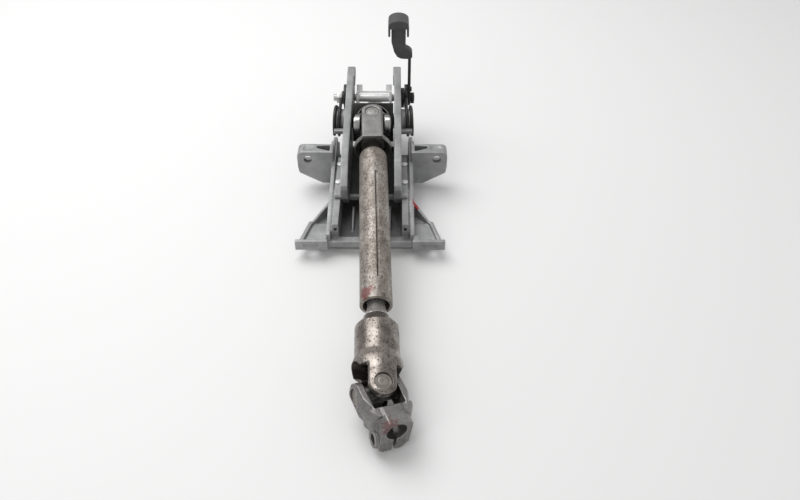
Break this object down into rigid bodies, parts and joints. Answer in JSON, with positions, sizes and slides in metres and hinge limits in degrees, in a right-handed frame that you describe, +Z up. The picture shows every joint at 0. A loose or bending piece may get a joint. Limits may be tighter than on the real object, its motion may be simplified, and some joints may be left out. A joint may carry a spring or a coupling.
{
  "type": "steering column",
  "caption": "Adjustable steering column: cast mounting bracket with bolt ears, raked and reaching column with clamp lever, and a telescopic shaft between universal joints.",
  "frame": {"origin": "on the mounting bracket's flat underside, in its middle plane, on which the column rests", "axes": "+Y along the column to the wheel end, +Z up from the resting face, +X to the lever side"},
  "size_m": [0.168, 0.4965, 0.1602],
  "materials": {
    "cast_aluminium": "as cast, satin",
    "black_steel": "black coated",
    "zinc_plate": "bright zinc",
    "bright_steel": "machined",
    "forged_steel": "forged, phosphated",
    "bare_tube": "bare, mottled",
    "sleeve_plastic": "moulded",
    "dark_plastic": "moulded, fine grain"
  },
  "bodies": {
    "bracket": {"mounting_bracket": "cast_aluminium", "cheek_bracket": "cast_aluminium", "shear_pins": "zinc_plate", "rake_pivot_pins": "bright_steel", "rake_spring_left": "black_steel", "rake_spring_right": "black_steel"},
    "column": {"column_housing": "black_steel", "lower_bearing": "bright_steel", "clamp_bracket": "zinc_plate", "clamp_bolt": "zinc_plate", "spacer_tube": "zinc_plate", "clamp_nut": "zinc_plate", "clamp_washer": "black_steel", "lock_plate": "black_steel", "fixed_cam": "black_steel", "lever_nut": "black_steel"},
    "reach_tube": {"inner_tube": "bright_steel", "upper_bearing": "bright_steel"},
    "wheel_end": {"wheel_shaft": "bright_steel", "bearing_circlip": "black_steel"},
    "lever": {"lever_strip": "black_steel", "lever_grip": "dark_plastic", "lever_cam": "black_steel", "lever_rivet": "black_steel"},
    "steering": {"steering_yoke": "bright_steel", "steering_shaft": "bright_steel", "steering_yoke_caps": "bright_steel"},
    "upper_joint": {"upper_cross": "bright_steel"},
    "intermediate": {"shaft_tube": "bare_tube", "upper_yoke": "forged_steel", "upper_yoke_caps": "forged_steel"},
    "slider": {"splined_shaft": "bare_tube", "slide_sleeve": "sleeve_plastic", "lower_yoke": "forged_steel", "lower_yoke_caps": "forged_steel"},
    "lower_joint": {"lower_cross": "bright_steel"},
    "pinion_clamp": {"clamp_yoke": "forged_steel", "clamp_yoke_caps": "forged_steel"}
  },
  "joints": [
    {"name": "rake", "type": "hinge", "parent": "bracket", "child": "column", "pos_m": [0, 0.09955, 0.05011], "axis": [1, 0, 0], "range_deg": [-3, 3]},
    {"name": "reach", "type": "slide", "parent": "column", "child": "reach_tube", "axis": [0, 0.8988, -0.4384], "range_m": [-0.009, 0.015]},
    {"name": "wheel_spin", "type": "hinge", "parent": "reach_tube", "child": "wheel_end", "pos_m": [0, 0.14988, 0.02556], "axis": [0, 0.8988, -0.4384], "range_deg": [-21, 21]},
    {"name": "lever_swing", "type": "hinge", "parent": "column", "child": "lever", "pos_m": [0, 0.14085, 0.05723], "axis": [-1, 0, 0], "range_deg": [0, 60]},
    {"name": "steering_turn", "type": "hinge", "parent": "column", "child": "steering", "pos_m": [0, 0.06, 0.0694], "axis": [0, 0.8988, -0.4384], "range_deg": [-20, 20]},
    {"name": "upper_pitch", "type": "hinge", "parent": "steering", "child": "upper_joint", "pos_m": [0, 0.06, 0.0694], "axis": [1, 0, 0], "range_deg": [-10, 1]},
    {"name": "upper_yaw", "type": "hinge", "parent": "upper_joint", "child": "intermediate", "pos_m": [0, 0.06, 0.0694], "axis": [0, -0.1349, 0.9909], "range_deg": [-12, 12]},
    {"name": "telescope", "type": "slide", "parent": "intermediate", "child": "slider", "axis": [0.0349, -0.9903, -0.1348], "range_m": [-0.009, 0.04]},
    {"name": "lower_yaw", "type": "hinge", "parent": "slider", "child": "lower_joint", "pos_m": [0.01169, -0.27174, 0.02425], "axis": [0.2418, -0.1225, 0.9626], "range_deg": [-34, 10]},
    {"name": "lower_pitch", "type": "hinge", "parent": "lower_joint", "child": "pinion_clamp", "pos_m": [0.01169, -0.27174, 0.02425], "axis": [0.9115, 0.3689, -0.182], "range_deg": [-10, 30]}
  ],
  "couplings": [
    {"joint": "wheel_spin", "follows": "steering_turn", "ratio": 1},
    {"joint": "upper_yaw", "follows": "steering_turn", "ratio": 0.55557}
  ]
}
